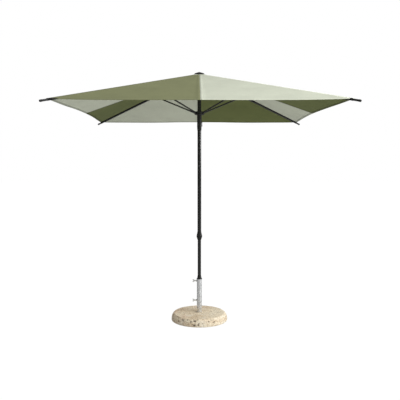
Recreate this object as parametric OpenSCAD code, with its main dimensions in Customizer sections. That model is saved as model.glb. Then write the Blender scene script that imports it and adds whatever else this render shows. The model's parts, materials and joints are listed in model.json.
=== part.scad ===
// Square push-up patio umbrella on a round stone base.
// Millimetres, +Z up, origin on the floor under the middle of the mast.
// The front of the umbrella faces -Y and its right side faces +X.

/* [Canopy] */
// Half the distance between neighbouring rib tips
rib_tip_half = 1250; // [1200:1:1300]
// Half the side of the fabric square
fabric_half = 1208; // [1150:1:1212]
// How far the middle of each hem lies inside the straight line between its corners
hem_inset = 80; // [0:1:100]
// How far the middle of each hem hangs under a straight face between two ribs
hem_sag = 24; // [0:1:30]
// Height of the rib tips when the umbrella is open
tip_z = 2058; // [2020:1:2100]
// Thickness of the fabric
fabric_t = 1.2; // [0.8:0.1:2]
// Distance of the fabric's middle surface over the rib's centre line
fabric_rise = 10.4; // [10.2:0.1:12]
// Half the width of the slit along each seam and fold of the canopy
seam_gap = 4; // [2:0.5:8]
// Half the side of the square patch under the cap
patch_half = 64; // [56:1:68]

/* [Ribs and struts] */
// Outer diameter of a rib
rib_d = 18; // [16:0.5:18]
// Outer diameter of a strut
strut_d = 15; // [12:0.5:15]
// Wall of the rib and strut tubes
frame_wall = 1.2; // [1:0.1:2]
// Distance along the rib from the crown pivot to the strut pivot
strut_along = 642; // [600:1:700]
// Distance of the strut pivot under the rib's centre line
strut_drop = 17.5; // [17.5:0.1:20]

/* [Mast] */
// Outer diameter of the upper pole
upper_d = 38; // [37.6:0.1:38.4]
// Outer diameter of the lower pole
lower_d = 34; // [33.6:0.1:34.4]
// Wall of both poles
pole_wall = 1.5; // [1.2:0.1:1.6]
// Height of the pivots in the crown
crown_z = 2460; // [2440:1:2480]
// Distance of the crown pivots from the mast's axis
crown_r = 30; // [29.5:0.5:31]
// Height of the pivots in the runner when the umbrella is open
runner_z = 2080; // [2060:1:2100]
// Distance of the runner pivots from the mast's axis
runner_r = 42; // [41:0.5:43]
// Height of the joint between the clamp's body and its nut
clamp_z = 842; // [800:1:900]

/* [Base] */
// Widest diameter of the stone slab
slab_d = 560; // [500:1:600]
// Diameter of the slab's flat top
slab_top_d = 488; // [440:1:500]
// Height of the slab's top over the floor
slab_z = 78; // [70:1:90]
// Outer diameter of the steel tube
tube_d = 50; // [49:0.5:52]
// Height of the steel tube's mouth
tube_z = 410; // [390:1:430]
// Height of the upper thumb screw
upper_screw_z = 393; // [380:1:395]
// Height of the lower thumb screw
lower_screw_z = 197; // [150:1:250]

/* [Hidden] */
$fn = 64;

SIDES = ["right", "back", "left", "front"];
RIBS = ["back_right", "back_left", "front_left", "front_right"];

// A gore is named for its side, the end of the side it lies on, and the seam it hangs from
function gore_name(s, half, part) =
    str("gore_", SIDES[s], "_", SIDES[(s + (half == 0 ? 1 : 3)) % 4], "_", part);

// Turn of rib r and of side s about the mast
function rib_azimuth(r) = 45 + 90 * r;
function side_azimuth(s) = 90 * s;

// Ribs
tip_r = rib_tip_half * sqrt(2);
rib_slope = atan((crown_z - tip_z) / (tip_r - crown_r));
rib_len = (tip_r - crown_r) / cos(rib_slope);
root_t = 8;
root_h = 16;
root_len = 34;
frame_pin_d = 5;
running_gap = 0.1;
plug_len = 25;
plug_d = 20;
pocket_start = 1615;
pocket_len = 95;
pocket_d = rib_d + 2.6;

// Struts
joint_r = crown_r + strut_along * cos(rib_slope) - strut_drop * sin(rib_slope);
joint_z = crown_z - strut_along * sin(rib_slope) - strut_drop * cos(rib_slope);
strut_slope = atan((joint_z - runner_z) / (joint_r - runner_r));
strut_len = norm([joint_r - runner_r, joint_z - runner_z]);
blade_t = 9;
blade_len = 26;
ear_t = 2.5;
ear_gap = blade_t + 1;
bracket_len = 24;

// Canopy: four faces that meet over the ribs, each folded at two rays from the apex
apex_z = crown_z + crown_r * tan(rib_slope) + fabric_rise / cos(rib_slope);
face_slope = atan(sqrt(2) * tan(rib_slope));
fold_azimuth = 22.5;
fold_sag = 0.95 * hem_sag;
gore_start = patch_half + 4;

// Crown
hub_r = 38;
hub_z = crown_z - 28;
hub_top = crown_z + 3.5;
slot_w = root_t + 1;
slot_r = 21.5;
socket_h = 20;
post_r = 14;
cap_r = 50;
cap_z = apex_z - 7;
cap_h = 26;
cap_wall = 3;
stud_d = 6;

// Runner
runner_hub_r = 47;
runner_hub_h = 32;
runner_core_r = 30;
runner_pin_d = 6;
runner_bore = upper_d + 0.16;
grip_r = 23;
grip_len = 160;
grip_top = runner_z - runner_hub_h / 2;
grip_z = grip_top - grip_len;
latch_x = 26.5;
latch_z = grip_z + 86;
latch_len = 45;
latch_w = 14;
latch_pin_d = 3;
lug_t = 2.7;
web_r = 20.2;

// Clamp
clamp_r = 28.5;
clamp_up = 44;
clamp_down = 35;
collet_r = 20.5;

// Poles
upper_pole_z = clamp_z + 8;
upper_pole_top = hub_z + socket_h;
lower_pole_z = 42;
lower_pole_top = 1200;
bush_h = 12;

// Base
slab_bottom = 3;
slab_belly_z = 15;
slab_edge_r = 9;
tube_wall = 2.5;
tube_foot = 20;
tube_plate = 6;
bolt_d = 12;
feet_r = 215;
pad_r = 25;
sleeve_in = 60;
sleeve_up = 31;
screw_d = 10;
boss_len = 9;
boss_af = 17;

MAST_BLACK = "#26272b";
PLASTIC_BLACK = "#1b1c1e";
ZINC = "#b4b6b8";
STONE = "#d8c8ae";
GREEN = "#8a8f66";
PALE = "#d6dac8";

// A bar along +Y through the middle of the present origin
module cross_pin(d, len, fn = 32) {
    rotate([90, 0, 0]) cylinder(d = d, h = len, center = true, $fn = fn);
}

// A cylinder along +X, from x to x + len
module bar_x(d, x, len, fn = 64) {
    translate([x, 0, 0]) rotate([0, 90, 0]) cylinder(d = d, h = len, $fn = fn);
}

// ---------- Base ----------

module base_slab() {
    belly_r = slab_d / 2;
    top_r = slab_top_d / 2;
    // The side swells from the belly to the rounded shoulder as a quarter of an ellipse
    side = [
        for (a = [0:9:90])
            [top_r + (belly_r - top_r) * cos(a), slab_belly_z + (slab_z - slab_belly_z) * sin(a)]
    ];
    foot = [
        for (a = [-90:18:0])
            [belly_r - slab_edge_r + slab_edge_r * cos(a), slab_bottom + slab_edge_r + slab_edge_r * sin(a)]
    ];
    color(STONE) difference() {
        rotate_extrude($fn = 128)
            polygon(concat([[0, slab_bottom]], foot, side, [[0, slab_z]]));
        translate([0, 0, tube_foot]) cylinder(d = tube_d + 0.6, h = slab_z);
        cylinder(d = bolt_d + 1, h = slab_z);
        cylinder(r = 20, h = slab_bottom + 10);
        for (a = [45:90:315])
            rotate([0, 0, a]) translate([feet_r, 0, 0]) cylinder(r = pad_r + 0.1, h = slab_bottom + 2);
    }
}

module base_tube() {
    color(ZINC) difference() {
        union() {
            translate([0, 0, tube_foot]) cylinder(d = tube_d, h = tube_z - tube_foot);
            for (z = [upper_screw_z, lower_screw_z])
                translate([-tube_d / 2 - boss_len, 0, z]) rotate([0, 90, 0])
                    cylinder(d = boss_af / cos(30), h = boss_len + 1, $fn = 6);
        }
        translate([0, 0, tube_foot + tube_plate])
            cylinder(d = tube_d - 2 * tube_wall, h = tube_z);
        cylinder(d = bolt_d + 0.1, h = tube_z);
        for (z = [upper_screw_z, lower_screw_z])
            translate([0, 0, z]) bar_x(screw_d + 0.2, -tube_d, tube_d / 2 + 5);
    }
}

module base_bolt() {
    head_z = slab_bottom + 1.5;
    color(ZINC) {
        translate([0, 0, head_z]) cylinder(d = 19 / cos(30), h = 7, $fn = 6);
        translate([0, 0, head_z + 7]) cylinder(r = 18, h = slab_bottom + 10 - head_z - 7);
        translate([0, 0, head_z + 7]) cylinder(d = bolt_d, h = 24);
    }
}

module base_feet() {
    color(PLASTIC_BLACK) for (a = [45:90:315])
        rotate([0, 0, a]) translate([feet_r, 0, 0]) cylinder(r = pad_r, h = slab_bottom + 2);
}

// A wing screw that points along +X; its tip is at tip_x
module thumb_screw(z, tip_x) {
    wing_in = -47;
    wing_out = -63;
    lobe = 5.5;
    color(ZINC) translate([0, 0, z]) {
        bar_x(screw_d, wing_in, tip_x - wing_in);
        bar_x(screw_d + 3, wing_in - 3, 9);
        rotate([90, 0, 0]) linear_extrude(5, center = true) {
            hull() {
                translate([wing_in, 0]) circle(6);
                translate([wing_out, 9.5]) circle(lobe);
            }
            hull() {
                translate([wing_in, 0]) circle(6);
                translate([wing_out, -9.5]) circle(lobe);
            }
        }
    }
}

module upper_screw() {
    thumb_screw(upper_screw_z, -(tube_d / 2 - tube_wall) - 0.3);
}

module lower_screw() {
    thumb_screw(lower_screw_z, -lower_d / 2 - 0.4);
}

// The flared collar drops into the steel tube and grips the pole when the screw bears on it
module reducer_sleeve() {
    flange_z = tube_z + 0.3;
    color(PLASTIC_BLACK) difference() {
        rotate_extrude($fn = 64) polygon([
            [lower_d / 2 + 0.08, tube_z - sleeve_in],
            [tube_d / 2 - tube_wall - 0.1, tube_z - sleeve_in],
            [tube_d / 2 - tube_wall - 0.1, flange_z],
            [tube_d / 2 + 2.5, flange_z],
            [tube_d / 2 + 2, flange_z + 5],
            [tube_d / 2 - 2.5, flange_z + 10],
            [tube_d / 2 - 5, flange_z + 19],
            [lower_d / 2 + 2, flange_z + sleeve_up],
            [lower_d / 2 + 0.08, flange_z + sleeve_up]
        ]);
        translate([0, -1, tube_z - sleeve_in - 1]) cube([tube_d, 2, sleeve_in - 4]);
    }
}

// ---------- Mast ----------

module pole(d, z0, z1) {
    translate([0, 0, z0]) difference() {
        cylinder(d = d, h = z1 - z0);
        translate([0, 0, -1]) cylinder(d = d - 2 * pole_wall, h = z1 - z0 + 2);
    }
}

module lower_pole() {
    color(MAST_BLACK) pole(lower_d, lower_pole_z, lower_pole_top);
}

module lower_pole_plug() {
    flange = 3.5;
    color(PLASTIC_BLACK) {
        translate([0, 0, lower_pole_z - flange]) cylinder(d = lower_d, h = flange);
        translate([0, 0, lower_pole_z]) cylinder(d = lower_d - 2 * pole_wall, h = 20);
    }
}

module guide_bush() {
    bore = lower_d - 2 * pole_wall - 4;
    color(PLASTIC_BLACK) difference() {
        union() {
            translate([0, 0, lower_pole_top])
                cylinder(d = upper_d - 2 * pole_wall - 0.16, h = bush_h);
            translate([0, 0, lower_pole_top - 20]) cylinder(d = lower_d - 2 * pole_wall, h = 20);
        }
        translate([0, 0, lower_pole_top - 21]) cylinder(d = bore, h = bush_h + 22);
    }
}

module upper_pole() {
    color(MAST_BLACK) pole(upper_d, upper_pole_z, upper_pole_top);
}

module clamp_body() {
    bottom = clamp_z + 0.4;
    color(PLASTIC_BLACK) rotate_extrude($fn = 64) polygon([
        [lower_d / 2 + 0.3, bottom],
        [clamp_r - 1, bottom],
        [clamp_r, bottom + 2],
        [clamp_r - 0.8, bottom + 8],
        [clamp_r - 4.2, bottom + 20],
        [clamp_r - 7, bottom + 34],
        [upper_d / 2 + 1.2, clamp_z + clamp_up],
        [upper_d / 2, clamp_z + clamp_up],
        [upper_d / 2, upper_pole_z],
        [lower_d / 2 + 0.3, upper_pole_z]
    ]);
}

module clamp_collet() {
    foot = clamp_z - clamp_down + 7;
    color(MAST_BLACK) difference() {
        translate([0, 0, foot]) cylinder(r = collet_r, h = clamp_z + 0.4 - foot);
        cylinder(d = lower_d + 0.16, h = clamp_z + 1);
        for (a = [45:90:315])
            rotate([0, 0, a]) translate([0, -1, foot - 1]) cube([clamp_r, 2, 21]);
    }
}

module clamp_nut() {
    foot = clamp_z - clamp_down;
    flutes = 12;
    color(PLASTIC_BLACK) difference() {
        rotate_extrude($fn = 64) polygon([
            [lower_d / 2 + 0.3, foot],
            [lower_d / 2 + 1.8, foot],
            [clamp_r - 6.5, foot + 10],
            [clamp_r - 0.8, clamp_z - 8],
            [clamp_r, clamp_z - 2],
            [clamp_r - 1, clamp_z],
            [collet_r + 0.5, clamp_z],
            [collet_r + 0.5, foot + 6.5],
            [lower_d / 2 + 0.3, foot + 6.5]
        ]);
        for (i = [0:flutes - 1])
            rotate([0, 0, i * 360 / flutes]) translate([clamp_r + 1.8, 0, clamp_z - 14])
                cylinder(r = 3, h = 20, $fn = 24);
    }
}

// ---------- Crown ----------

module crown_hub() {
    color(PLASTIC_BLACK) difference() {
        union() {
            translate([0, 0, hub_z]) cylinder(r = hub_r, h = hub_top - hub_z);
            translate([0, 0, hub_top]) cylinder(r = post_r, h = 8);
        }
        translate([0, 0, hub_z - 1]) cylinder(d = upper_d, h = socket_h + 1);
        translate([0, 0, hub_z + socket_h - 1]) cylinder(d = stud_d, h = 40);
        for (r = [0:3]) rotate([0, 0, rib_azimuth(r)]) {
            translate([slot_r, -slot_w / 2, hub_z - 1]) cube([hub_r, slot_w, 60]);
            translate([crown_r, 0, crown_z]) cross_pin(frame_pin_d, 32);
        }
    }
}

module crown_pins() {
    color(ZINC) for (r = [0:3])
        rotate([0, 0, rib_azimuth(r)]) translate([crown_r, 0, crown_z]) cross_pin(frame_pin_d, 32);
}

module cap_stud() {
    color(ZINC) translate([0, 0, hub_z + socket_h + 1]) cylinder(d = stud_d, h = 34);
}

// A shallow cone with a moulded boss for the stud
module top_cap() {
    color(PLASTIC_BLACK) difference() {
        union() {
            difference() {
                rotate_extrude($fn = 64) polygon([
                    [0, cap_z], [cap_r - 1, cap_z], [cap_r, cap_z + 1.5], [cap_r, cap_z + 8],
                    [cap_r - 2.5, cap_z + 10.5], [6, cap_z + cap_h - 1], [0, cap_z + cap_h]
                ]);
                translate([0, 0, cap_z - 1])
                    cylinder(r1 = cap_r - cap_wall - 1, r2 = 4, h = cap_h - cap_wall - 1);
            }
            translate([0, 0, hub_top + 8]) cylinder(r = 9, h = cap_z + cap_h - 6 - hub_top - 8);
        }
        translate([0, 0, cap_z - 20]) cylinder(d = stud_d, h = hub_z + socket_h + 35 - cap_z + 20);
    }
}

// The square of doubled fabric that the cap presses on the crown
module crown_patch() {
    inner = post_r + 3;
    fall = (patch_half - inner) * tan(face_slope);
    lift = 0.3;
    thick = 1.4;
    color(PALE) translate([0, 0, apex_z - patch_half * tan(face_slope) + lift]) difference() {
        rotate([0, 0, 45]) cylinder(r1 = patch_half * sqrt(2), r2 = inner * sqrt(2), h = fall, $fn = 4);
        translate([0, 0, -thick]) rotate([0, 0, 45])
            cylinder(r1 = patch_half * sqrt(2), r2 = inner * sqrt(2), h = fall, $fn = 4);
        cylinder(r = inner, h = 100, center = true);
    }
}

// ---------- Runner ----------

module runner_hub() {
    color(PLASTIC_BLACK) difference() {
        translate([0, 0, runner_z - runner_hub_h / 2]) cylinder(r = runner_hub_r, h = runner_hub_h);
        translate([0, 0, runner_z - runner_hub_h]) cylinder(d = runner_bore, h = 2 * runner_hub_h);
        for (r = [0:3]) rotate([0, 0, rib_azimuth(r)]) {
            translate([runner_core_r, -ear_gap / 2, runner_z - runner_hub_h])
                cube([runner_hub_r, ear_gap, 2 * runner_hub_h]);
            translate([runner_r, 0, runner_z]) cross_pin(runner_pin_d, 30);
        }
    }
}

// The hand sleeve, with a pocket and two lugs for the latch on its right side
module runner_grip() {
    lug_y = latch_w / 2 + 0.4;
    color(PLASTIC_BLACK) difference() {
        union() {
            rotate_extrude($fn = 64) polygon([
                [0, grip_z], [grip_r - 3.5, grip_z], [grip_r - 2.5, grip_z + 2],
                [grip_r - 1, grip_z + 22], [grip_r, grip_z + 40], [grip_r, grip_top], [0, grip_top]
            ]);
            for (y = [-lug_y - lug_t, lug_y])
                translate([10, y, latch_z - 7]) cube([latch_x - 7, lug_t, 14]);
        }
        translate([0, 0, grip_z - 1]) cylinder(d = runner_bore, h = grip_len + 2);
        translate([web_r, -lug_y, latch_z - latch_len - 4]) cube([30, 2 * lug_y, latch_len + 12]);
        translate([latch_x, 0, latch_z]) cross_pin(latch_pin_d, 40);
    }
}

module runner_pins() {
    color(ZINC) {
        for (r = [0:3])
            rotate([0, 0, rib_azimuth(r)]) translate([runner_r, 0, runner_z]) cross_pin(runner_pin_d, 30);
        translate([latch_x, 0, latch_z]) cross_pin(latch_pin_d, latch_w + 2 * lug_t + 0.8);
    }
}

module latch_lever() {
    thick = 5;
    inner_x = latch_x - thick / 2;
    color(PLASTIC_BLACK) difference() {
        translate([0, latch_w / 2, 0]) rotate([90, 0, 0]) linear_extrude(latch_w) union() {
            translate([latch_x, latch_z]) circle(d = thick + 1, $fn = 32);
            polygon([
                [inner_x, latch_z], [inner_x, latch_z - latch_len], [inner_x + 4, latch_z - latch_len],
                [inner_x + 6, latch_z - latch_len + 5], [inner_x + thick, latch_z - 20],
                [inner_x + thick, latch_z]
            ]);
        }
        translate([latch_x, 0, latch_z]) cross_pin(latch_pin_d + running_gap, 40);
    }
}

// Small coil spring behind the lever's thumb end, drawn as its outer sleeve
module latch_spring() {
    color(ZINC) translate([web_r, 0, latch_z - 33]) rotate([0, 90, 0]) difference() {
        cylinder(d = 6, h = latch_x - 2.5 - web_r - 0.1, $fn = 32);
        translate([0, 0, -1]) cylinder(d = 4, h = 20, $fn = 32);
    }
}

// ---------- Ribs ----------

// Places its children in the rib's own frame: +X along the rib, origin at the crown pivot
module at_rib(r) {
    rotate([0, 0, rib_azimuth(r)]) translate([crown_r, 0, crown_z]) rotate([0, rib_slope, 0]) children();
}

module rib(r) {
    plug_in = 14;
    color(MAST_BLACK) at_rib(r) difference() {
        union() {
            cross_pin(root_h, root_t, 64);
            translate([0, -root_t / 2, -root_h / 2]) cube([root_len + 2, root_t, root_h]);
            bar_x(rib_d, root_len, rib_len - plug_len / 2 - root_len);
        }
        bar_x(rib_d - 2 * frame_wall, root_len + plug_in, rib_len);
        cross_pin(frame_pin_d + running_gap, 2 * root_t);
    }
}

module rib_tip(r) {
    start = rib_len - plug_len;
    color(PLASTIC_BLACK) at_rib(r) difference() {
        translate([start, 0, 0]) rotate([0, 90, 0]) rotate_extrude($fn = 48) polygon(concat(
            [[0, 0], [plug_d / 2 - 1, 0], [plug_d / 2, 1.5]],
            [for (a = [0:15:90]) [plug_d / 2 * cos(a), plug_len - plug_d / 2 + plug_d / 2 * sin(a)]]
        ));
        bar_x(rib_d, start - 1, plug_len / 2 + 1);
    }
}

// A sling of webbing that runs under the rib and is sewn to the canvas on both sides of it
module corner_pocket(r) {
    open_z = 4;
    color(PLASTIC_BLACK) at_rib(r) difference() {
        bar_x(pocket_d, pocket_start, pocket_len);
        bar_x(rib_d, pocket_start - 1, rib_len);
        translate([pocket_start - 1, -pocket_d, open_z]) cube([pocket_len + 2, 2 * pocket_d, pocket_d]);
    }
}

// A saddle under the rib with two ears and a riveted pin
module strut_bracket(r) {
    ear_r = 8;
    saddle_d = rib_d + 3.4;
    clear_top = rib_d / 2 - 3;
    color(MAST_BLACK) at_rib(r) translate([strut_along, 0, 0]) {
        difference() {
            union() {
                bar_x(saddle_d, -bracket_len / 2, bracket_len);
                for (y = [-ear_gap / 2 - ear_t / 2, ear_gap / 2 + ear_t / 2]) translate([0, y, 0]) {
                    translate([0, 0, -strut_drop]) cross_pin(2 * ear_r, ear_t);
                    translate([-ear_r, -ear_t / 2, -strut_drop]) cube([2 * ear_r, ear_t, strut_drop]);
                }
            }
            bar_x(rib_d, -bracket_len, 2 * bracket_len);
            translate([-bracket_len, -rib_d, rib_d / 4]) cube([2 * bracket_len, 2 * rib_d, rib_d]);
            translate([-bracket_len, -ear_gap / 2, -2 * strut_drop])
                cube([2 * bracket_len, ear_gap, 2 * strut_drop - clear_top]);
        }
        translate([0, 0, -strut_drop]) cross_pin(frame_pin_d, ear_gap + 2 * ear_t + 3);
    }
}

// The strut lies along +X in its own frame, from the runner pivot to the rib pivot
module strut(r) {
    lower_eye = strut_d + 2;
    color(MAST_BLACK)
    rotate([0, 0, rib_azimuth(r)]) translate([runner_r, 0, runner_z]) rotate([0, -strut_slope, 0])
    difference() {
        union() {
            cross_pin(lower_eye, blade_t, 64);
            translate([0, -blade_t / 2, -strut_d / 2]) cube([blade_len + 2, blade_t, strut_d]);
            bar_x(strut_d, blade_len, strut_len - 2 * blade_len);
            translate([strut_len - blade_len - 2, -blade_t / 2, -strut_d / 2])
                cube([blade_len + 2, blade_t, strut_d]);
            translate([strut_len, 0, 0]) cross_pin(strut_d, blade_t, 64);
        }
        bar_x(strut_d - 2 * frame_wall, blade_len + 10, strut_len - 2 * blade_len - 20);
        cross_pin(runner_pin_d + running_gap, 2 * blade_t);
        translate([strut_len, 0, 0]) cross_pin(frame_pin_d + running_gap, 2 * blade_t);
    }
}

// ---------- Canopy ----------

// In a face's own frame the apex is the origin, +X runs out over the middle of the hem
// and the hem's ends are at y = fabric_half and -fabric_half
function hem_x(y) = fabric_half - hem_inset * (1 - pow(y / fabric_half, 2));
// Where the fold meets the hem
function fold_y(y, n) = n == 0 ? y : fold_y(hem_x(y) * tan(fold_azimuth), n - 1);
function ray(x, y, sag) = let (p = [x, y, -x * tan(face_slope) - sag]) p / norm(p);

// One flat wedge of half a face, from the middle seam to the fold or from the fold to the rib,
// cut back by the slit along both of its rays
module gore(s, half, is_mid) {
    fold_end = fold_y(fabric_half / 2, 6);
    fold_ray = ray(hem_x(fold_end), fold_end, fold_sag);
    ray_a = is_mid ? ray(hem_x(0), 0, hem_sag) : fold_ray;
    ray_b = is_mid ? fold_ray : ray(1, 1, 0);
    across = cross(ray_a, ray_b);
    up = across / norm(across);
    side = cross(up, ray_a);
    angle = acos(ray_a * ray_b);
    y_a = is_mid ? seam_gap : fold_end + seam_gap / cos(fold_azimuth);
    y_b = is_mid ? fold_end - seam_gap / cos(fold_azimuth) : fabric_half - 1.7 * seam_gap;
    steps = 4;
    hem = [
        for (i = [0:steps])
            let (y = y_a + (y_b - y_a) * i / steps, x = hem_x(y))
            let (p = [x, y, -(up[0] * x + up[1] * y) / up[2]])
            [p * ray_a, p * side]
    ];
    start_a = gore_start / ray_a[0];
    start_b = gore_start / ray_b[0];
    inner_a = [start_a, seam_gap];
    inner_b = [
        start_b * cos(angle) + seam_gap * sin(angle),
        start_b * sin(angle) - seam_gap * cos(angle)
    ];
    color(half == 0 ? PALE : GREEN)
    translate([0, 0, apex_z]) rotate([0, 0, side_azimuth(s)]) mirror([0, half, 0])
        multmatrix([for (i = [0:2]) [ray_a[i], side[i], up[i], 0]])
            linear_extrude(fabric_t, center = true) polygon(concat([inner_a], hem, [inner_b]));
}

base_slab();
base_tube();
base_bolt();
base_feet();
upper_screw();
lower_screw();
reducer_sleeve();
lower_pole();
lower_pole_plug();
guide_bush();
upper_pole();
crown_hub();
crown_pins();
cap_stud();
top_cap();
crown_patch();
clamp_body();
clamp_collet();
clamp_nut();
runner_hub();
runner_grip();
runner_pins();
latch_lever();
latch_spring();
for (r = [0:3]) {
    rib(r);
    rib_tip(r);
    corner_pocket(r);
    strut_bracket(r);
    strut(r);
}
for (s = [0:3]) for (half = [0:1]) {
    gore(s, half, false);
    gore(s, half, true);
}
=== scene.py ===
"""The looks of a square patio umbrella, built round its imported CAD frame. Metres, +Z up, front towards -Y."""

import json
import math
import random

import bpy
import numpy as np
from mathutils import Matrix, Vector


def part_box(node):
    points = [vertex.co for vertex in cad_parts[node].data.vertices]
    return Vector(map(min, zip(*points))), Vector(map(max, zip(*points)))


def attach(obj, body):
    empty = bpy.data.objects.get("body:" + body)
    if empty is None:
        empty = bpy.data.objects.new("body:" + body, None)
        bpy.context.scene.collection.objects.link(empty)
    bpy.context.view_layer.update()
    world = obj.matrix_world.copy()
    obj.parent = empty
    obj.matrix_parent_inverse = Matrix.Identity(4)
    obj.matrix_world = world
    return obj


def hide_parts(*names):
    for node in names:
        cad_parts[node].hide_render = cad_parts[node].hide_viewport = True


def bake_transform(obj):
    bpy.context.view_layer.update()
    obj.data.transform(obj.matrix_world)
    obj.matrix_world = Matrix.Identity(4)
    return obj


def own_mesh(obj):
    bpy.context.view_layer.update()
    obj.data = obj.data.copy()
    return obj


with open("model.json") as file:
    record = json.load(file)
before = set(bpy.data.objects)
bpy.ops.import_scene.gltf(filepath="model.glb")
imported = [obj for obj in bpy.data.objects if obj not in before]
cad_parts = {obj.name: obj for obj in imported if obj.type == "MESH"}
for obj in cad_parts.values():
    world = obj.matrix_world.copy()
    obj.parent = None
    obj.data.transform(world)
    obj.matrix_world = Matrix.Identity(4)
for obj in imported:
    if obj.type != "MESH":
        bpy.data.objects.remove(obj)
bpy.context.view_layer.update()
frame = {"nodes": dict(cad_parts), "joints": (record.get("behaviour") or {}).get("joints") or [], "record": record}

MM = 0.001
SIDES = ["right", "back", "left", "front"]
RIBS = ["back_right", "back_left", "front_left", "front_right"]
JOINTS = {joint["name"]: joint for joint in frame["joints"]}
NODES = frame["nodes"]

# ---------- Camera, light and floor ----------

CAMERA_DISTANCE = 5.40
CAMERA_HEIGHT = 1.57
CAMERA_SIDE = -0.032
LENS = 48.2
SHIFT_UP = -0.0903
SHIFT_RIGHT = 0.00955


def make_camera():
    data = bpy.data.cameras.new("camera")
    data.lens = LENS
    data.sensor_width = 36
    data.shift_x = SHIFT_RIGHT
    data.shift_y = SHIFT_UP
    camera = bpy.data.objects.new("camera", data)
    camera.location = (CAMERA_SIDE, -CAMERA_DISTANCE, CAMERA_HEIGHT)
    camera.rotation_euler = (math.radians(90), 0, 0)
    bpy.context.scene.collection.objects.link(camera)
    bpy.context.scene.camera = camera


def make_light(name, location, target, size, power):
    data = bpy.data.lights.new(name, "AREA")
    data.shape = "DISK"
    data.size = size
    data.energy = power
    light = bpy.data.objects.new(name, data)
    light.location = location
    light.rotation_euler = (Vector(target) - Vector(location)).to_track_quat("-Z", "Y").to_euler()
    bpy.context.scene.collection.objects.link(light)


# ---------- Material helpers ----------


def node(tree, kind, inputs=(), **settings):
    """Adds a node; each input takes a value or another node's socket."""
    made = tree.nodes.new("ShaderNode" + kind)
    for key, value in settings.items():
        setattr(made, key, value)
    for key, value in dict(inputs).items():
        if isinstance(value, bpy.types.NodeSocket):
            tree.links.new(value, made.inputs[key])
        else:
            made.inputs[key].default_value = value
    return made


def calc(tree, operation, *values, clamp=False):
    return node(tree, "Math", dict(enumerate(values)), operation=operation, use_clamp=clamp).outputs[0]


def mix(tree, share, first, second, blend="MIX"):
    inputs = {0: share, 6: first, 7: second}
    return node(tree, "Mix", inputs, data_type="RGBA", blend_type=blend).outputs[2]


def ramp(tree, value, stops):
    """A colour ramp whose stops are (position, colour or grey)."""
    made = node(tree, "ValToRGB", {0: value})
    elements = made.color_ramp.elements
    while len(elements) < len(stops):
        elements.new(0.5)
    for element, (position, colour) in zip(elements, stops):
        element.position = position
        element.color = rgba(colour)
    return made.outputs[0]


def rgba(colour):
    return (*(colour if hasattr(colour, "__len__") else (colour,) * 3), 1)


def shade(colour, factor):
    return tuple(c * factor for c in colour)


def noise_at(tree, place, scale, detail=3, rough=0.55):
    inputs = {"Vector": place, "Scale": scale, "Detail": detail, "Roughness": rough}
    return node(tree, "TexNoise", inputs).outputs["Fac"]


def object_place(tree, stretch=(1, 1, 1)):
    """The piece's own coordinates in metres, stretched along its axes."""
    own = node(tree, "TexCoord").outputs["Object"]
    return node(tree, "Mapping", {"Vector": own, "Scale": stretch}).outputs[0]


def bump(tree, height, strength, distance, normal=None):
    inputs = {"Height": height, "Strength": strength, "Distance": distance}
    if normal is not None:
        inputs["Normal"] = normal
    return node(tree, "Bump", inputs).outputs[0]


def new_material(name, **constant):
    """A material with one Principled shader; constant holds its uniform sockets, _ for a space."""
    material = bpy.data.materials.new(name)
    material.use_nodes = True
    tree = material.node_tree
    shader = tree.nodes["Principled BSDF"]
    for key, value in constant.items():
        shader.inputs[key.replace("_", " ")].default_value = value
    return material, tree, shader


# ---------- Materials ----------

# The underside colours are painted light: they stand in for light shining through the cloth, seen from below.
GREEN = (0.218, 0.230, 0.118)
GREEN_UNDER_PAINTED_LIGHT = (0.150, 0.172, 0.062)
PALE = (0.605, 0.635, 0.520)
PALE_UNDER_PAINTED_LIGHT = (0.645, 0.675, 0.545)
# painted shade: from below, doubled cloth is drawn darker because less light comes through it
LAP_UNDER_PAINTED_SHADE = 0.62  # how dark the doubled cloth looks from below


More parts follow.
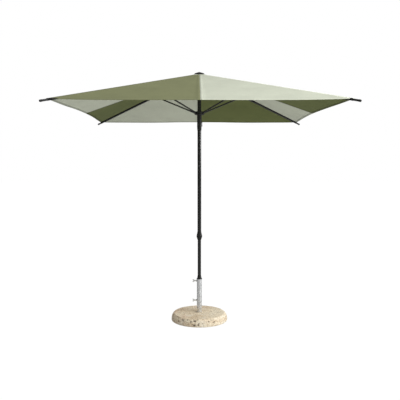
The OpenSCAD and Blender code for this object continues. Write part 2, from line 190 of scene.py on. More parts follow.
def canvas(name, outer, under, lap_painted_light):
    """Woven canvas: yarns both ways, slubs, soft mottling, doubled hems and seams with stitching. Its underside
    colours and its doubled cloth's tones are painted light, for light shining through the cloth.
    """
    material, tree, shader = new_material(
        name, Roughness=0.95, Sheen_Weight=0.03, Sheen_Roughness=0.5, Specular_IOR_Level=0.1
    )
    uv = node(tree, "UVMap", uv_map="cut").outputs[0]
    split = node(tree, "SeparateXYZ", {0: uv})
    along, across = split.outputs[0], split.outputs[1]
    yarn = 2 * math.pi / (1.4 * MM)
    warp = calc(tree, "SINE", calc(tree, "MULTIPLY", along, yarn))
    weft = calc(tree, "SINE", calc(tree, "MULTIPLY", across, yarn))
    weave = calc(tree, "MULTIPLY", warp, weft)
    slub_u = noise_at(tree, node(tree, "Mapping", {0: uv, "Scale": (14, 900, 1)}).outputs[0], 1, 2)
    slub_v = noise_at(tree, node(tree, "Mapping", {0: uv, "Scale": (900, 14, 1)}).outputs[0], 1, 2)
    slubs = calc(tree, "MULTIPLY", calc(tree, "ADD", slub_u, slub_v), 0.5)
    mottle = noise_at(tree, uv, 3.5, 4)
    is_under = node(tree, "Attribute", attribute_name="under").outputs["Fac"]
    # painted light: the underside takes its own colour for the light shining through the cloth
    colour = mix(tree, is_under, rgba(outer), rgba(under))
    tint = mix(tree, 1.0, colour, ramp(tree, mottle, [(0.25, 0.92), (0.75, 1.07)]), "MULTIPLY")
    tint = mix(tree, 0.5, tint, ramp(tree, slubs, [(0.35, 0.86), (0.65, 1.1)]), "MULTIPLY")
    fleck = noise_at(tree, uv, 420, 1)
    tint = mix(tree, 0.35, tint, ramp(tree, fleck, [(0.35, 0.88), (0.62, 1.04)]), "MULTIPLY")
    hem = node(tree, "Attribute", attribute_name="hem_gap").outputs["Fac"]
    seam = node(tree, "Attribute", attribute_name="seam_gap").outputs["Fac"]
    rib = node(tree, "Attribute", attribute_name="rib_gap").outputs["Fac"]
    doubled = calc(
        tree,
        "MAXIMUM",
        calc(tree, "LESS_THAN", hem, HEM_WIDTH),
        calc(tree, "LESS_THAN", calc(tree, "MINIMUM", seam, rib), SEAM_WIDTH),
    )
    # painted light: doubled hems and seams are retinted, darker from below, and from above lighter on pale cloth
    # and darker on green
    lap_painted_tone = mix(tree, is_under, rgba(lap_painted_light), rgba(LAP_UNDER_PAINTED_SHADE))
    tint = mix(tree, doubled, tint, mix(tree, 1.0, tint, lap_painted_tone, "MULTIPLY"))
    rows = [(hem, HEM_WIDTH - 2.5 * MM, across), (hem, 3 * MM, across)]
    rows += [(seam, SEAM_WIDTH - 2 * MM, along), (rib, SEAM_WIDTH - 2 * MM, along)]
    stitches = 0.0
    for gap, line, run in rows:
        near = calc(tree, "COMPARE", gap, line, 0.5 * MM)
        dash = calc(tree, "LESS_THAN", calc(tree, "FRACT", calc(tree, "MULTIPLY", run, 1 / (4 * MM))), 0.7)
        stitches = calc(tree, "MAXIMUM", stitches, calc(tree, "MULTIPLY", near, dash))
    tint = mix(tree, calc(tree, "MULTIPLY", stitches, 0.6), tint, rgba(shade(outer, 1.25)))
    tree.links.new(tint, shader.inputs["Base Color"])
    soft = bump(tree, noise_at(tree, uv, 28, 3), 0.12, 4 * MM)
    cloth = bump(tree, calc(tree, "ADD", weave, slubs), 0.35, 0.12 * MM, soft)
    tree.links.new(bump(tree, stitches, 0.6, 0.4 * MM, cloth), shader.inputs["Normal"])
    return material


def webbing(name):
    """Black ribbed webbing with a fine twill across it."""
    material, tree, shader = new_material(name, Roughness=0.85, Sheen_Weight=0.05, Specular_IOR_Level=0.15)
    place = object_place(tree)
    split = node(tree, "SeparateXYZ", {0: place})
    diagonal = calc(tree, "ADD", split.outputs[0], split.outputs[1])
    twill = calc(tree, "SINE", calc(tree, "MULTIPLY", diagonal, 2 * math.pi / (2.2 * MM)))
    ribbed = calc(tree, "SINE", calc(tree, "MULTIPLY", split.outputs[2], 2 * math.pi / (1.6 * MM)))
    height = calc(tree, "ADD", twill, ribbed)
    wear = noise_at(tree, place, 60, 4)
    tint = ramp(tree, wear, [(0.3, (0.008, 0.008, 0.008)), (0.72, (0.022, 0.022, 0.022))])
    tree.links.new(tint, shader.inputs["Base Color"])
    tree.links.new(bump(tree, height, 0.5, 0.3 * MM), shader.inputs["Normal"])
    return material


def powder_coat(name, colour):
    """Satin powder coat: orange peel, faint dust and small rubbed spots."""
    material, tree, shader = new_material(name, Metallic=0.0, Specular_IOR_Level=0.42)
    place = object_place(tree)
    dust = noise_at(tree, place, 9, 5)
    scuffs = noise_at(tree, object_place(tree, (1, 1, 0.25)), 140, 5, 0.7)
    rubbed = ramp(tree, scuffs, [(0.66, 0.0), (0.74, 1.0)])
    tint = mix(tree, dust, rgba(shade(colour, 0.8)), rgba(shade(colour, 1.3)))
    tint = mix(tree, calc(tree, "MULTIPLY", rubbed, 0.3), tint, rgba(shade(colour, 3.0)))
    tree.links.new(tint, shader.inputs["Base Color"])
    tree.links.new(ramp(tree, dust, [(0.3, 0.20), (0.7, 0.26)]), shader.inputs["Roughness"])
    peel = node(tree, "TexVoronoi", {"Vector": place, "Scale": 520.0}, feature="SMOOTH_F1")
    tree.links.new(bump(tree, peel.outputs["Distance"], 0.06, 0.3 * MM), shader.inputs["Normal"])
    return material


def moulded_plastic(name, colour):
    """Black nylon with a fine moulded grain and lighter rubbed patches."""
    material, tree, shader = new_material(name, Specular_IOR_Level=0.3)
    place = object_place(tree)
    cloud = noise_at(tree, place, 22, 4)
    tint = mix(tree, cloud, rgba(shade(colour, 0.75)), rgba(shade(colour, 1.45)))
    tree.links.new(tint, shader.inputs["Base Color"])
    tree.links.new(ramp(tree, cloud, [(0.3, 0.42), (0.7, 0.6)]), shader.inputs["Roughness"])
    grain = noise_at(tree, place, 900, 2, 0.6)
    tree.links.new(bump(tree, grain, 0.25, 0.25 * MM), shader.inputs["Normal"])
    return material


def galvanised(name):
    """Hot-dip zinc: spangle crystals of uneven brightness, with dull streaks down the tube."""
    material, tree, shader = new_material(name, Metallic=0.9)
    place = object_place(tree)
    crystals = node(tree, "TexVoronoi", {"Vector": place, "Scale": 95.0, "Randomness": 1.0})
    spangle = node(tree, "SeparateColor", {0: crystals.outputs["Color"]}).outputs[0]
    streak = noise_at(tree, object_place(tree, (60, 60, 4)), 1, 4)
    tint = ramp(tree, spangle, [(0.0, (0.66, 0.67, 0.68)), (1.0, (0.88, 0.885, 0.89))])
    tint = mix(tree, 0.5, tint, ramp(tree, streak, [(0.3, 0.8), (0.7, 1.0)]), "MULTIPLY")
    tree.links.new(tint, shader.inputs["Base Color"])
    dull = calc(tree, "ADD", calc(tree, "MULTIPLY", spangle, 0.18), calc(tree, "MULTIPLY", streak, 0.3))
    tree.links.new(calc(tree, "ADD", dull, 0.06), shader.inputs["Roughness"])
    tree.links.new(bump(tree, spangle, 0.06, 0.3 * MM), shader.inputs["Normal"])
    return material


def zinc_plate(name):
    """Bright zinc plating with handling marks."""
    material, tree, shader = new_material(name, Metallic=1.0)
    place = object_place(tree)
    marks = noise_at(tree, object_place(tree, (1, 3, 3)), 130, 5, 0.65)
    tint = ramp(tree, marks, [(0.3, (0.70, 0.70, 0.685)), (0.7, (0.88, 0.88, 0.865))])
    tree.links.new(tint, shader.inputs["Base Color"])
    tree.links.new(ramp(tree, marks, [(0.3, 0.42), (0.7, 0.26)]), shader.inputs["Roughness"])
    tree.links.new(bump(tree, noise_at(tree, place, 500, 2), 0.1, 0.2 * MM), shader.inputs["Normal"])
    return material


def rubber(name):
    material, tree, shader = new_material(name, Specular_IOR_Level=0.3)
    place = object_place(tree)
    dust = noise_at(tree, place, 40, 4)
    tree.links.new(ramp(tree, dust, [(0.3, 0.018), (0.75, 0.055)]), shader.inputs["Base Color"])
    tree.links.new(ramp(tree, dust, [(0.3, 0.7), (0.7, 0.9)]), shader.inputs["Roughness"])
    tree.links.new(bump(tree, noise_at(tree, place, 700, 2), 0.3, 0.3 * MM), shader.inputs["Normal"])
    return material


def travertine(name):
    """Cream stone in soft level bands with rosy clouds, sandy grains and brown in its holes. The rosy clouds are
    pushed towards the left side as painted shade, and the dark brown in the holes and pits is painted shade.
    """
    material, tree, shader = new_material(name, Specular_IOR_Level=0.35)
    place = object_place(tree)
    bands = noise_at(tree, object_place(tree, (4, 4, 34)), 1, 5, 0.6)
    clouds = noise_at(tree, place, 5.5, 4)
    grains = node(tree, "TexVoronoi", {"Vector": place, "Scale": 260.0}).outputs["Distance"]
    tint = ramp(
        tree,
        bands,
        [(0.30, (0.60, 0.46, 0.31)), (0.45, (0.78, 0.655, 0.48)), (0.62, (0.86, 0.77, 0.60))],
    )
    # painted shade: the rosy clouds grow towards the left (-X) side, darkening the side away from the light
    left_painted_shade = calc(tree, "MULTIPLY", node(tree, "SeparateXYZ", {0: place}).outputs[0], -0.9)
    rosy = ramp(tree, calc(tree, "ADD", clouds, left_painted_shade), [(0.56, 0.0), (0.78, 1.0)])
    tint = mix(tree, calc(tree, "MULTIPLY", rosy, 0.55), tint, rgba((0.76, 0.52, 0.40)))
    pale = ramp(tree, noise_at(tree, place, 13, 3), [(0.52, 0.0), (0.68, 1.0)])
    tint = mix(tree, calc(tree, "MULTIPLY", pale, 0.5), tint, rgba((0.90, 0.86, 0.74)))
    tint = mix(tree, 0.55, tint, ramp(tree, grains, [(0.1, 0.72), (0.6, 1.1)]), "MULTIPLY")
    speck = noise_at(tree, place, 62, 3, 0.7)
    specks = ramp(tree, speck, [(0.36, (0.66, 0.58, 0.47)), (0.5, 1.0), (0.64, 1.12)])
    tint = mix(tree, 0.8, tint, specks, "MULTIPLY")
    # painted shade: pits and holes are drawn near-black brown for the shade inside them
    pinholes = ramp(tree, noise_at(tree, place, 150, 2), [(0.30, 1.0), (0.35, 0.0)])
    hole = node(tree, "Attribute", attribute_name="hole").outputs["Fac"]
    brown = calc(tree, "MAXIMUM", calc(tree, "MULTIPLY", pinholes, 0.5), hole, clamp=True)
    tint = mix(tree, brown, tint, rgba((0.085, 0.05, 0.025)))
    tree.links.new(tint, shader.inputs["Base Color"])
    tree.links.new(ramp(tree, grains, [(0.1, 0.62), (0.6, 0.82)]), shader.inputs["Roughness"])
    rough = bump(tree, noise_at(tree, place, 190, 4, 0.65), 0.35, 0.9 * MM)
    sunk = calc(tree, "MULTIPLY", pinholes, -1.0)
    tree.links.new(bump(tree, sunk, 0.5, 0.8 * MM, rough), shader.inputs["Normal"])
    return material


# ---------- Mesh helpers ----------


def mesh_piece(name, points, faces, material, smooth=True):
    data = bpy.data.meshes.new(name)
    data.from_pydata([tuple(p) for p in points], [], faces)
    data.validate()
    data.polygons.foreach_set("use_smooth", [smooth] * len(data.polygons))
    data.materials.append(material)
    piece = bpy.data.objects.new(name, data)
    bpy.context.scene.collection.objects.link(piece)
    return piece


def settle(piece, body, slot, *replaced):
    """Sets what a finished rigid piece rides on and the CAD nodes it stands for; its finish (slot) is not used."""
    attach(piece, body)
    if replaced:
        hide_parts(*replaced)
    return piece


def grid_faces(rows, columns, first=0, closed=False, flip=False):
    """Quads of a grid of points; closed joins the last column to the first."""
    faces = []
    for i in range(rows - 1):
        for j in range(columns if closed else columns - 1):
            k = (j + 1) % columns
            quad = (i * columns + j, i * columns + k, (i + 1) * columns + k, (i + 1) * columns + j)
            quad = tuple(first + q for q in quad)
            faces.append(quad[::-1] if flip else quad)
    return faces


def joined(parts):
    """Points and faces of several (points, faces) parts as one."""
    points, faces = [], []
    for part_points, part_faces in parts:
        faces += [tuple(i + len(points) for i in face) for face in part_faces]
        points += [Vector(p) for p in part_points]
    return points, faces


def revolved(profile, segments, close=True):
    """A ring of points per (radius, height) about +Z; close joins the last ring to the first."""
    points = []
    for radius, height in profile:
        for k in range(segments):
            turn = 2 * math.pi * k / segments
            points.append(Vector((radius * math.cos(turn), radius * math.sin(turn), height)))
    faces = grid_faces(len(profile), segments, closed=True)
    if close:
        last = (len(profile) - 1) * segments
        for k in range(segments):
            n = (k + 1) % segments
            faces.append((last + k, last + n, n, k))
    return points, faces


def swept(path, radius, sides=10):
    """A round tube with flat ends along a path of points."""
    points, faces = [], []
    normal = None
    for i, p in enumerate(path):
        ahead = (path[min(i + 1, len(path) - 1)] - path[max(i - 1, 0)]).normalized()
        if normal is None:
            normal = ahead.orthogonal().normalized()
        normal = (normal - ahead * normal.dot(ahead)).normalized()
        other = ahead.cross(normal)
        for k in range(sides):
            turn = 2 * math.pi * k / sides
            points.append(p + radius * (math.cos(turn) * normal + math.sin(turn) * other))
    faces += grid_faces(len(path), sides, closed=True)
    faces.append(tuple(range(sides))[::-1])
    faces.append(tuple(range((len(path) - 1) * sides, len(path) * sides)))
    return points, faces


def moved(part, matrix):
    return [matrix @ Vector(p) for p in part[0]], part[1]


def along(direction, origin=(0, 0, 0)):
    """The matrix that puts +Z along direction, at origin."""
    turn = Vector(direction).to_track_quat("Z", "Y").to_matrix().to_4x4()
    return Matrix.Translation(Vector(origin)) @ turn


# ---------- Canopy ----------

HEM_INSET = 62 * MM
HEM_SAG = 24 * MM
HEM_WIDTH = 25 * MM
SEAM_WIDTH = 20 * MM
CORNER_SHORT = 6.8 * MM  # how far short of the corner the CAD's outer gores end
CROWN_EDGE = 50 * MM
FOLD_BAND = 15 * MM
CLOTH = 1.0 * MM
# painted shade: the longer binding at this corner is a dark strip standing in for the shade that falls there
LONG_SHADE_BINDING = (3, 1)  # the front hem's left end has the longest black binding

ridge_joint = JOINTS["seam_fold_right_back"]
RIDGE_POINT = Vector(ridge_joint["pos_m"])
RIDGE_AXIS = Vector(ridge_joint["axis"])
APEX = RIDGE_POINT - RIDGE_AXIS * (RIDGE_POINT.x / RIDGE_AXIS.x)
FALL = (APEX.z - RIDGE_POINT.z) / RIDGE_POINT.x
FABRIC_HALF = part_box("gore_right_back_rib")[1].y + CORNER_SHORT
FACE_UP = np.array([FALL, 0, 1]) / math.hypot(FALL, 1)
FACE_SLANT = math.hypot(FALL, 1)


def hem_reach(t):
    """How far out from the mast the hem is where y = t x in a face's own frame."""
    x = np.full_like(t, FABRIC_HALF)
    for _ in range(12):
        x = FABRIC_HALF - HEM_INSET * (1 - (t * x / FABRIC_HALF) ** 2)
    return x


def cloth_point(x, y, side):
    """The canopy's middle surface over (x, y) in a face's own frame, with the apex at the origin."""
    t = np.clip(y / x, 0, 1)
    reach = x / hem_reach(t)
    z = -FALL * x - HEM_SAG * reach**1.3 * (1 - t**4)
    edges = 4 * t * (1 - t)
    crown_pull = 1.6 * MM * np.exp(-((x - CROWN_EDGE) / 0.28)) * np.sin(26 * t + side)
    crown_pull *= np.clip((x - 0.075) / 0.08, 0, 1)
    from_x, from_y = FABRIC_HALF - x, FABRIC_HALF - y
    corner = np.hypot(from_x, from_y)
    corner_pull = 2.4 * MM * np.exp(-((corner / 0.42) ** 2)) * np.sin(9 * np.arctan2(from_x, from_y))
    slack = 1.5 * MM * np.sin(5.1 * x + 2.3 * side) * np.sin(7.3 * y + side) * reach
    return np.stack([x, y, z + edges * (crown_pull + corner_pull + slack)], axis=-1)


def face_to_world(points, side, half):
    """Turns points of a face's own frame into the row frame; half 1 is the mirrored half."""
    points = np.array(points, float)
    if half:
        points[..., 1] *= -1
    turn = math.pi / 2 * side
    c, s = math.cos(turn), math.sin(turn)
    x, y, z = points[..., 0], points[..., 1], points[..., 2]
    return np.stack([c * x - s * y, s * x + c * y, z + APEX.z], axis=-1)


def panel_columns():
    """Each column of a half-panel as (offset, slope): its points are at y = offset + slope x."""
    edge = SEAM_WIDTH + 1.5 * MM
    shares = [*np.linspace(0, 0.36, 10), *np.linspace(0.372, 0.456, 11), *np.linspace(0.47, 1, 15)]
    inner = [(edge * (1 - 2.5 * share), share) for share in shares]
    return np.array([(0, 0), (SEAM_WIDTH, 0), *inner, (-SEAM_WIDTH * math.sqrt(2), 1), (0, 1)])


def panel_grid():
    """The (x, y) points of a half-panel, in rows from the crown to the hem, and each column's hem."""
    offset, slope = panel_columns().T
    hem = np.full_like(offset, FABRIC_HALF)
    for _ in range(12):
        hem = FABRIC_HALF - HEM_INSET * (1 - ((offset + slope * hem) / FABRIC_HALF) ** 2)
    body = np.linspace(0, 1, 41)[:-1, None]
    x = np.concatenate(
        [
            CROWN_EDGE + (hem - HEM_WIDTH - 6 * MM - CROWN_EDGE) * body,
            hem - np.array([HEM_WIDTH + 1.5 * MM, HEM_WIDTH, 8 * MM, 1.5 * MM, 0])[:, None],
        ]
    )
    return x, offset + slope * x, hem


def shell(top, bottom):
    """A closed solid between two grids of points."""
    rows, columns = top.shape[:2]
    half = rows * columns
    points = [*top.reshape(-1, 3), *bottom.reshape(-1, 3)]
    faces = grid_faces(rows, columns) + grid_faces(rows, columns, half, flip=True)
    rim = [(0, j) for j in range(columns)] + [(i, columns - 1) for i in range(1, rows)]
    rim += [(rows - 1, j) for j in range(columns - 2, -1, -1)] + [(i, 0) for i in range(rows - 2, 0, -1)]
    index = [i * columns + j for i, j in rim]
    for a, b in zip(index, index[1:] + index[:1]):
        faces.append((b, a, a + half, b + half))
    return points, faces


def sheet_shell(x, y, side, half, above, below):
    """A closed cloth solid round the canopy's middle surface, from below to above it."""
    middle = cloth_point(x, y, side)
    top = face_to_world(middle + FACE_UP * above[..., None], side, half)
    bottom = face_to_world(middle - FACE_UP * below[..., None], side, half)
    return shell(top, bottom)


def end_name(side, half):
    """The neighbouring side that a half-panel reaches to."""
    return SIDES[(side + (1, 3)[half]) % 4]


def gore_body(side, half, part):
    return f"gore_{SIDES[side]}_{end_name(side, half)}_{part}"


def set_values(piece, name, values):
    attribute = piece.data.attributes.new(name, "FLOAT", "POINT")
    attribute.data.foreach_set("value", np.array(values, np.float32).ravel())


def make_panel(side, half, material):
    """One sewn half of a canopy face: seam, doubled hem and stitching."""
    x, y, hem = panel_grid()
    hem_gap, seam_gap, rib_gap = hem - x, y, (x - y) / math.sqrt(2)
    doubled = (hem_gap <= HEM_WIDTH + 0.1 * MM) | (np.minimum(seam_gap, rib_gap) <= SEAM_WIDTH + 0.1 * MM)
    thick = CLOTH / 2 + np.where(doubled, 0.7 * MM, 0)
    thick = np.where(hem_gap < 1 * MM, 0.7 * MM, thick)
    name = f"canvas_{SIDES[side]}_{end_name(side, half)}"
    points, faces = sheet_shell(x, y, side, half, thick, thick)
    panel = mesh_piece(name, points, faces, material)
    # the hem and seam gaps place the stitching and the doubled cloth's painted light; under marks the underside
    # for its painted-light colours
    for key, gap in (("hem_gap", hem_gap), ("seam_gap", seam_gap), ("rib_gap", rib_gap)):
        set_values(panel, key, [gap, gap])
    set_values(panel, "under", [np.zeros(x.shape), np.ones(x.shape)])
    cut = np.stack([x * FACE_SLANT, y], axis=-1).reshape(-1, 2)
    cut = np.concatenate([cut, cut])
    layer = panel.data.uv_layers.new(name="cut")
    corners = [corner.vertex_index for corner in panel.data.loops]
    layer.data.foreach_set("uv", cut[corners].astype(np.float32).ravel())
    face_end = f"{SIDES[side]}_{end_name(side, half)}"
    crease = JOINTS["gore_fold_" + face_end]
    middle, axis = Vector(crease["pos_m"]), Vector(crease["axis"])
    ridge = Vector(JOINTS["seam_fold_" + face_end]["pos_m"])
    across = ridge - middle
    across = (across - axis * across.dot(axis)).normalized() * FOLD_BAND
    bodies = gore_body(side, half, "rib"), gore_body(side, half, "mid")
    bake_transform(panel)
    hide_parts(*bodies)
    return panel


def make_corner_binding(side, half, material):
    """Black webbing bound round the hem's last stretch before the corner. At the front hem's left end it runs
    longer, a dark strip standing in for painted shade there.
    """
    width, rib_space = 13 * MM, 6 * MM
    # the extra length at the long corner is painted shade
    length = (86 if (side, half) == LONG_SHADE_BINDING else 34) * MM
    rows, columns = 14, 4
    y = np.linspace(FABRIC_HALF - length, FABRIC_HALF - 12 * MM, rows)[:, None]
    hem = FABRIC_HALF - HEM_INSET * (1 - (y / FABRIC_HALF) ** 2)
    inner = np.maximum(hem - width, y + rib_space)
    x = inner + (hem + 1.2 * MM - inner) * np.linspace(0, 1, columns)
    thick = np.full(x.shape, 2.0 * MM)
    points, faces = sheet_shell(x, y + 0 * x, side, half, thick, thick)
    name = f"corner_binding_{SIDES[side]}_{end_name(side, half)}"
    binding = mesh_piece(name, points, faces, material)
    return settle(binding, gore_body(side, half, "rib"), "black_webbing")


def make_rib_tape(side, half, material):
    """The black tape sewn under the seam over a rib; each panel carries its own half of it."""
    rows = 60
    run = np.linspace(110 * MM, FABRIC_HALF * math.sqrt(2) - 60 * MM, rows)[:, None]
    off = np.linspace(4.5 * MM, 26 * MM, 4)
    x, y = (run + off) / math.sqrt(2), (run - off) / math.sqrt(2)
    points, faces = sheet_shell(x, y, side, half, np.full(x.shape, -1.5 * MM), np.full(x.shape, 3.0 * MM))
    tape = mesh_piece(f"rib_tape_{SIDES[side]}_{end_name(side, half)}", points, faces, material)
    return settle(tape, gore_body(side, half, "rib"), "black_webbing")


def make_crown_patch(material):
    """The doubled square of cloth that the cap presses on the crown, with its turned edge."""
    per_side = 24
    profile = [(18, 0.9), (40, 0.9), (60.5, 0.9), (64, 0.9), (64.6, 1.8)]
    profile += [(64, 2.9), (60.5, 2.7), (56, 2.2), (18, 2.2)]
    points, gaps = [], []
    for reach, lift in profile:
        for k in range(4 * per_side):
            side, t = k // per_side, 2 * (k % per_side) / per_side - 1
            x = reach * MM
            ripple = 0.5 * MM * math.sin(9 * t + side) * (1 - t * t) * (reach / 64) ** 2
            here = np.array([x, t * x, -FALL * x + lift * MM + ripple])
            points.append(face_to_world(here, side, 0))
            gaps.append((64.6 - reach) * MM)
    ring = 4 * per_side
    faces = grid_faces(len(profile), ring, closed=True)
    last = (len(profile) - 1) * ring
    faces += [(last + k, last + (k + 1) % ring, (k + 1) % ring, k) for k in range(ring)]
    patch = mesh_piece("crown_patch_cloth", points, faces, material)
    # the hem gap marks the patch's doubled edge for its stitching and for the doubled cloth's painted light
    set_values(patch, "hem_gap", gaps)
    for key in ("seam_gap", "rib_gap"):
        set_values(patch, key, [1.0] * len(points))
    layer = patch.data.uv_layers.new(name="cut")
    flat = np.array([points[corner.vertex_index][:2] for corner in patch.data.loops])
    layer.data.foreach_set("uv", flat.astype(np.float32).ravel())
    settle(patch, "upper_mast", "pale_canvas", "crown_patch")
    return patch


# ---------- Rib ends and fasteners ----------


def rib_frame(rib):
    """The rib's own frame: +X along the rib, +Y along its pin, origin at the crown pivot."""
    joint = JOINTS["rib_fold_" + rib]
    pivot, pin = Vector(joint["pos_m"]), Vector(joint["axis"])
    outward = Vector((pivot.x, pivot.y, 0)).normalized()
    direction = (outward * math.sqrt(2) - Vector((0, 0, FALL))).normalized()
    matrix = Matrix((direction, pin, direction.cross(pin))).transposed().to_4x4()
    return Matrix.Translation(pivot) @ matrix


def rib_span(node_name, rib):
    """How far along the rib a node starts and ends."""
    inverse = rib_frame(rib).inverted()
    reach = [(inverse @ vertex.co).x for vertex in NODES[node_name].data.vertices]
    return min(reach), max(reach)


def make_pocket(rib, material):
    """The webbing sling under the rib's end: rolled ends and rows of bar tacks."""
    start, end = rib_span("corner_pocket_" + rib, rib)
    bore, wall = 9.15 * MM, 1.0 * MM
    turns = np.radians(np.linspace(164, 376, 25))
    rings = []
    for share in np.linspace(0, 1, 41):
        rolled = 0.4 * MM * (math.exp(-((share / 0.04) ** 2)) + math.exp(-(((share - 1) / 0.04) ** 2)))
        tacks = math.exp(-(((share - 0.12) / 0.02) ** 2)) + math.exp(-(((share - 0.88) / 0.02) ** 2))
        rings.append((start + (end - start) * share, bore + wall + rolled - 0.4 * MM * tacks))
    points = []
    for reach, radius in rings:
        loop = [(radius + 0.2 * MM * math.sin(3 * turn + 180 * reach), turn) for turn in turns]
        loop += [(bore, turn) for turn in turns[::-1]]
        points += [Vector((reach, r * math.cos(turn), r * math.sin(turn))) for r, turn in loop]
    around = 2 * len(turns)
    faces = grid_faces(len(rings), around, closed=True)
    last = (len(rings) - 1) * around
    for k in range(len(turns) - 1):
        quad = (k, k + 1, around - 2 - k, around - 1 - k)
        faces += [quad[::-1], tuple(last + q for q in quad)]
    points, faces = moved((points, faces), rib_frame(rib))
    pocket = mesh_piece("pocket_" + rib, points, faces, material)
    return settle(pocket, "rib_" + rib, "black_webbing", "corner_pocket_" + rib)


def rivet_dome(radius, height):
    """A low domed head that stands on z = 0."""
    profile = [(0.05 * radius, -0.3 * MM), (radius, -0.3 * MM)]
    profile += [(radius * math.cos(a), height * math.sin(a)) for a in np.linspace(0.15, 1.5, 7)]
    points, faces = revolved(profile, 20, close=False)
    faces.append(tuple(range(20))[::-1])
    faces.append(tuple(range(len(points) - 20, len(points))))
    return points, faces


def make_rivets(rib, material):
    """Domed heads on both ends of the strut's rivet."""
    pivot = Vector(JOINTS["strut_fold_" + rib]["pos_m"])
    pin = Vector(JOINTS["rib_fold_" + rib]["axis"])
    half_pin = 9 * MM
    dome = rivet_dome(4.6 * MM, 2.2 * MM)
    heads = [moved(dome, along(pin * s, pivot + pin * s * half_pin)) for s in (1, -1)]
    rivets = mesh_piece("rivet_heads_" + rib, *joined(heads), material)
    return settle(rivets, "rib_" + rib, "zinc_plated_steel")


def make_screw_thread(name, material):
    """The thread's ridge, wound on the part of the screw that shows between its nut and its collar."""
    joint = JOINTS[name + "_turn"]
    height = joint["pos_m"][2]
    radius, pitch = 4.95 * MM, 1.5 * MM
    start, turns, per_turn = -41.6 * MM, 6, 28
    path = []
    for i in range(turns * per_turn + 1):
        turn = 2 * math.pi * i / per_turn
        at = start + pitch * i / per_turn
        path.append(Vector((at, radius * math.cos(turn), height + radius * math.sin(turn))))
    thread = mesh_piece(name + "_thread", *swept(path, 0.45 * MM, 6), material)
    return settle(thread, name, "zinc_plated_steel")


def make_weld_beads(material):
    """Uneven weld beads where the two nuts meet the steel tube."""
    tube_radius, ring, bead = 25 * MM, 10.2 * MM, 1.5 * MM
    parts = []
    for name in ("upper_screw_turn", "lower_screw_turn"):
        height = JOINTS[name]["pos_m"][2]
        count, sides = 96, 8
        points = []
        for i in range(count):
            turn = 2 * math.pi * i / count
            y, z = ring * math.cos(turn), ring * math.sin(turn)
            middle = Vector((-math.sqrt(tube_radius**2 - y * y) - 0.2 * MM, y, height + z))
            size = bead * (1 + 0.16 * math.sin(17 * turn) + 0.1 * math.sin(29 * turn + 1))
            out = Vector((0, math.cos(turn), math.sin(turn)))
            for k in range(sides):
                a = 2 * math.pi * k / sides
                points.append(middle + size * (math.cos(a) * out - math.sin(a) * Vector((1, 0, 0))))
        faces = grid_faces(count, sides, closed=True)
        last = (count - 1) * sides
        faces += [(last + k, last + (k + 1) % sides, (k + 1) % sides, k) for k in range(sides)]
        parts.append((points, faces))
    beads = mesh_piece("weld_beads", *joined(parts), material)
    return settle(beads, "base", "galvanised_steel")


def make_spring(material):
    """The latch's coil spring in the place of its plain sleeve."""
    low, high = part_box("latch_spring")
    wire, turns, per_turn = 0.4 * MM, 6, 20
    middle = (low + high) / 2
    radius = (high.z - low.z) / 2 - wire
    path = []
    for i in range(turns * per_turn + 1):
        share = i / (turns * per_turn)
        turn = 2 * math.pi * i / per_turn
        x = low.x + wire + (high.x - low.x - 2 * wire) * share
        path.append(Vector((x, middle.y + radius * math.cos(turn), middle.z + radius * math.sin(turn))))
    spring = mesh_piece("latch_coil", *swept(path, wire, 8), material)
    settle(spring, "runner", "zinc_plated_steel", "latch_spring")
    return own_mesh(spring)


# ---------- Stone base ----------

# The stone's largest holes: degrees round from the front, height and size in millimetres
BIG_HOLES = [(-10, 62, 12), (-10.5, 22, 12), (-26, 66, 7), (19, 55, 7)]
BIG_HOLES += [(31, 46, 7), (-2, 28, 6), (-48, 40, 7), (-38, 58, 6)]


def stone_profile():
    """The slab's outline as (radius, height), from under the middle, round the rim, to the top's middle."""
    low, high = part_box("base_slab")
    rim, top = high.x, high.z
    edge, belly, shoulder = 9 * MM, 15 * MM, 36 * MM
    profile = [(22 * MM, low.z), (90 * MM, low.z), (180 * MM, low.z), (240 * MM, low.z)]
    for a in np.linspace(-90, 0, 7):
        turn = math.radians(a)
        profile.append((rim - edge + edge * math.cos(turn), low.z + edge + edge * math.sin(turn)))
    for a in np.linspace(0, 90, 27):
        turn = math.radians(a)
        profile.append((rim - shoulder + shoulder * math.cos(turn), belly + (top - belly) * math.sin(turn)))
    hole = 25.8 * MM
    profile += [(r, top) for r in np.linspace(rim - shoulder - 4 * MM, hole + 2.5 * MM, 44)]
    profile += [(hole + 0.6 * MM, top - 0.5 * MM), (hole, top - 2 * MM), (hole, top - 40 * MM)]
    return profile


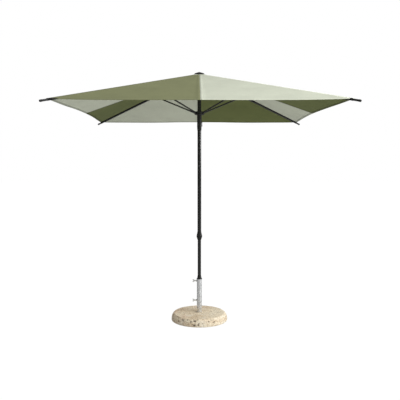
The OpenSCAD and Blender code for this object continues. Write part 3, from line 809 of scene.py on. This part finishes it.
def make_stone(material):
    """The cast stone slab: slight unevenness, open pits and a few large holes, as travertine has."""
    profile = stone_profile()
    segments = 420
    points, faces = revolved(profile, segments, close=False)
    co = np.array([tuple(p) for p in points])
    radius = np.hypot(co[:, 0], co[:, 1])
    top = co[:, 2].max()
    outward = np.stack([co[:, 0] / radius, co[:, 1] / radius, np.zeros(len(co))], axis=-1)
    rise = np.clip((co[:, 2] - 15 * MM) / (top - 15 * MM), 0, 1)[:, None] ** 3
    direction = outward * (1 - rise) + np.array([0, 0, 1]) * rise
    direction /= np.linalg.norm(direction, axis=1)[:, None]
    shown = (co[:, 2] > 6 * MM) & (radius > 29 * MM)
    angle = np.arctan2(co[:, 1], co[:, 0])
    wave = 0.5 * np.sin(3 * angle + 1) + 0.3 * np.sin(7 * angle + 40 * co[:, 2])
    wave += 0.2 * np.sin(13 * angle - 60 * radius)
    depth = 0.35 * MM * (1 - wave)
    dark = np.zeros(len(co))
    draw = random.Random(11)
    holes = []
    rim = radius.max()
    for turn, height, size in BIG_HOLES:
        a = math.radians(turn - 90)
        share = math.asin(min(max((height * MM - 15 * MM) / (top - 15 * MM), 0), 0.97))
        reach = rim - 36 * MM * (1 - math.cos(share))
        holes.append((reach * math.cos(a), reach * math.sin(a), height * MM, size * MM, 0.55, 1.3))
    for _ in range(240):
        a = draw.uniform(0, 2 * math.pi)
        size = draw.uniform(1.6, 4.6) * MM
        if draw.random() < 0.5:
            share = draw.uniform(0, 1.2)
            reach = rim - 36 * MM * (1 - math.cos(share))
            height = 15 * MM + 63 * MM * math.sin(share)
            holes.append((reach * math.cos(a), reach * math.sin(a), height, size, 0.5, 1.5))
        else:
            reach = rim * math.sqrt(draw.uniform(0.03, 0.72))
            holes.append((reach * math.cos(a), reach * math.sin(a), top, size, 0.4, 1.0))
    for x, y, z, size, steep, stretch in holes:
        off = co - (x, y, z)
        tangent = np.array([-y, x, 0]) / math.hypot(x, y)
        side = off @ tangent / stretch
        gap = np.sqrt(np.maximum((off**2).sum(1) - (off @ tangent) ** 2, 0) + side**2) / size
        gap *= 1 + 0.18 * np.sin(5 * np.arctan2(side, off[:, 2] + 0.5 * radius) + x * 90)
        sunk = np.clip(1 - gap, 0, 1) ** 0.6
        depth = np.maximum(depth, sunk * size * steep)
        # painted shade: this share marks where the stone is drawn near-black in and round each hole
        dark = np.maximum(dark, np.clip(1.25 - gap, 0, 1) ** 0.7)
    co = np.where(shown[:, None], co - direction * depth[:, None], co)
    slab = mesh_piece("stone_slab", co, faces + [tuple(range(segments))], material)
    set_values(slab, "hole", np.where(shown, dark, 0))
    return settle(slab, "base", "stone", "base_slab")


# ---------- Build ----------


def paint(node_name, material):
    data = NODES[node_name].data
    data.materials.clear()
    data.materials.append(material)


def make_stage():
    floor_material, tree, shader = new_material("floor", Roughness=0.9)
    pale = noise_at(tree, object_place(tree), 0.8, 3)
    tree.links.new(ramp(tree, pale, [(0.3, 0.60), (0.7, 0.63)]), shader.inputs["Base Color"])
    glow = node(tree, "Emission", {"Color": (1, 1, 1, 1), "Strength": 1.04})
    seen = node(tree, "LightPath").outputs["Is Camera Ray"]
    share = calc(tree, "MULTIPLY", seen, 0.96)
    blend = node(tree, "MixShader", {0: share, 1: shader.outputs[0], 2: glow.outputs[0]})
    tree.links.new(blend.outputs[0], tree.nodes["Material Output"].inputs["Surface"])
    size = 40
    corners = [(-size, -size, 0), (size, -size, 0), (size, size, 0), (-size, size, 0)]
    floor = mesh_piece("floor", corners, [(0, 1, 2, 3)], floor_material, smooth=False)
    world = bpy.data.worlds.new("studio")
    bpy.context.scene.world = world
    world.use_nodes = True
    tree = world.node_tree
    background = tree.nodes["Background"]
    place = node(tree, "TexCoord").outputs["Generated"]
    split = node(tree, "SeparateXYZ", {0: place})
    dome = ramp(tree, split.outputs[2], [(0.0, 0.42), (0.25, 0.55), (0.9, 0.78)])
    across = calc(tree, "MULTIPLY_ADD", split.outputs[0], 0.5, 0.5)
    rightward = ramp(tree, across, [(0.1, 0.40), (0.45, 0.95), (0.9, 1.4)])
    dome = mix(tree, 1.0, dome, rightward, "MULTIPLY")
    seen = node(tree, "LightPath").outputs["Is Camera Ray"]
    tree.links.new(mix(tree, seen, dome, rgba(1.0)), background.inputs["Color"])
    background.inputs["Strength"].default_value = 1.0
    bpy.context.scene.view_settings.view_transform = "Standard"


def main():
    make_camera()
    make_stage()
    make_light("key", (3.2, -3.8, 5.2), (0, 0, 1.6), 2.6, 150)
    make_light("low_side", (3.0, -1.6, 0.5), (0, 0, 0.3), 1.0, 7)
    make_light("high_side", (3.1, -1.2, 2.0), (0, 0, 1.9), 0.7, 40)
    # the last value is the doubled cloth's painted-light tone seen from above
    green = canvas("green_canvas", GREEN, GREEN_UNDER_PAINTED_LIGHT, 0.92)
    pale = canvas("pale_canvas", PALE, PALE_UNDER_PAINTED_LIGHT, 1.08)
    black_web = webbing("black_webbing")
    coat = powder_coat("black_powder_coat", (0.0075, 0.008, 0.0065))
    plastic = moulded_plastic("black_plastic", (0.011, 0.0115, 0.010))
    steel, zinc = galvanised("galvanised_steel"), zinc_plate("zinc_plated_steel")
    finishes = {
        "stone": travertine("stone"),
        "galvanised_steel": steel,
        "zinc_plated_steel": zinc,
        "black_powder_coat": coat,
        "black_plastic": plastic,
        "rubber": rubber("rubber"),
        "black_webbing": black_web,
        "green_canvas": green,
        "pale_canvas": pale,
    }
    for part in frame["record"]["subparts"]:
        paint(part["node"], finishes[part["material_slot"]])
    for side in range(4):
        for half, cloth in enumerate((pale, green)):
            make_panel(side, half, cloth)
            make_corner_binding(side, half, black_web)
            make_rib_tape(side, half, black_web)
    make_crown_patch(pale)
    for rib in RIBS:
        make_pocket(rib, black_web)
        make_rivets(rib, zinc)
    for name in ("upper_screw", "lower_screw"):
        make_screw_thread(name, zinc)
    make_weld_beads(steel)
    make_spring(zinc)
    make_stone(finishes["stone"])


main()
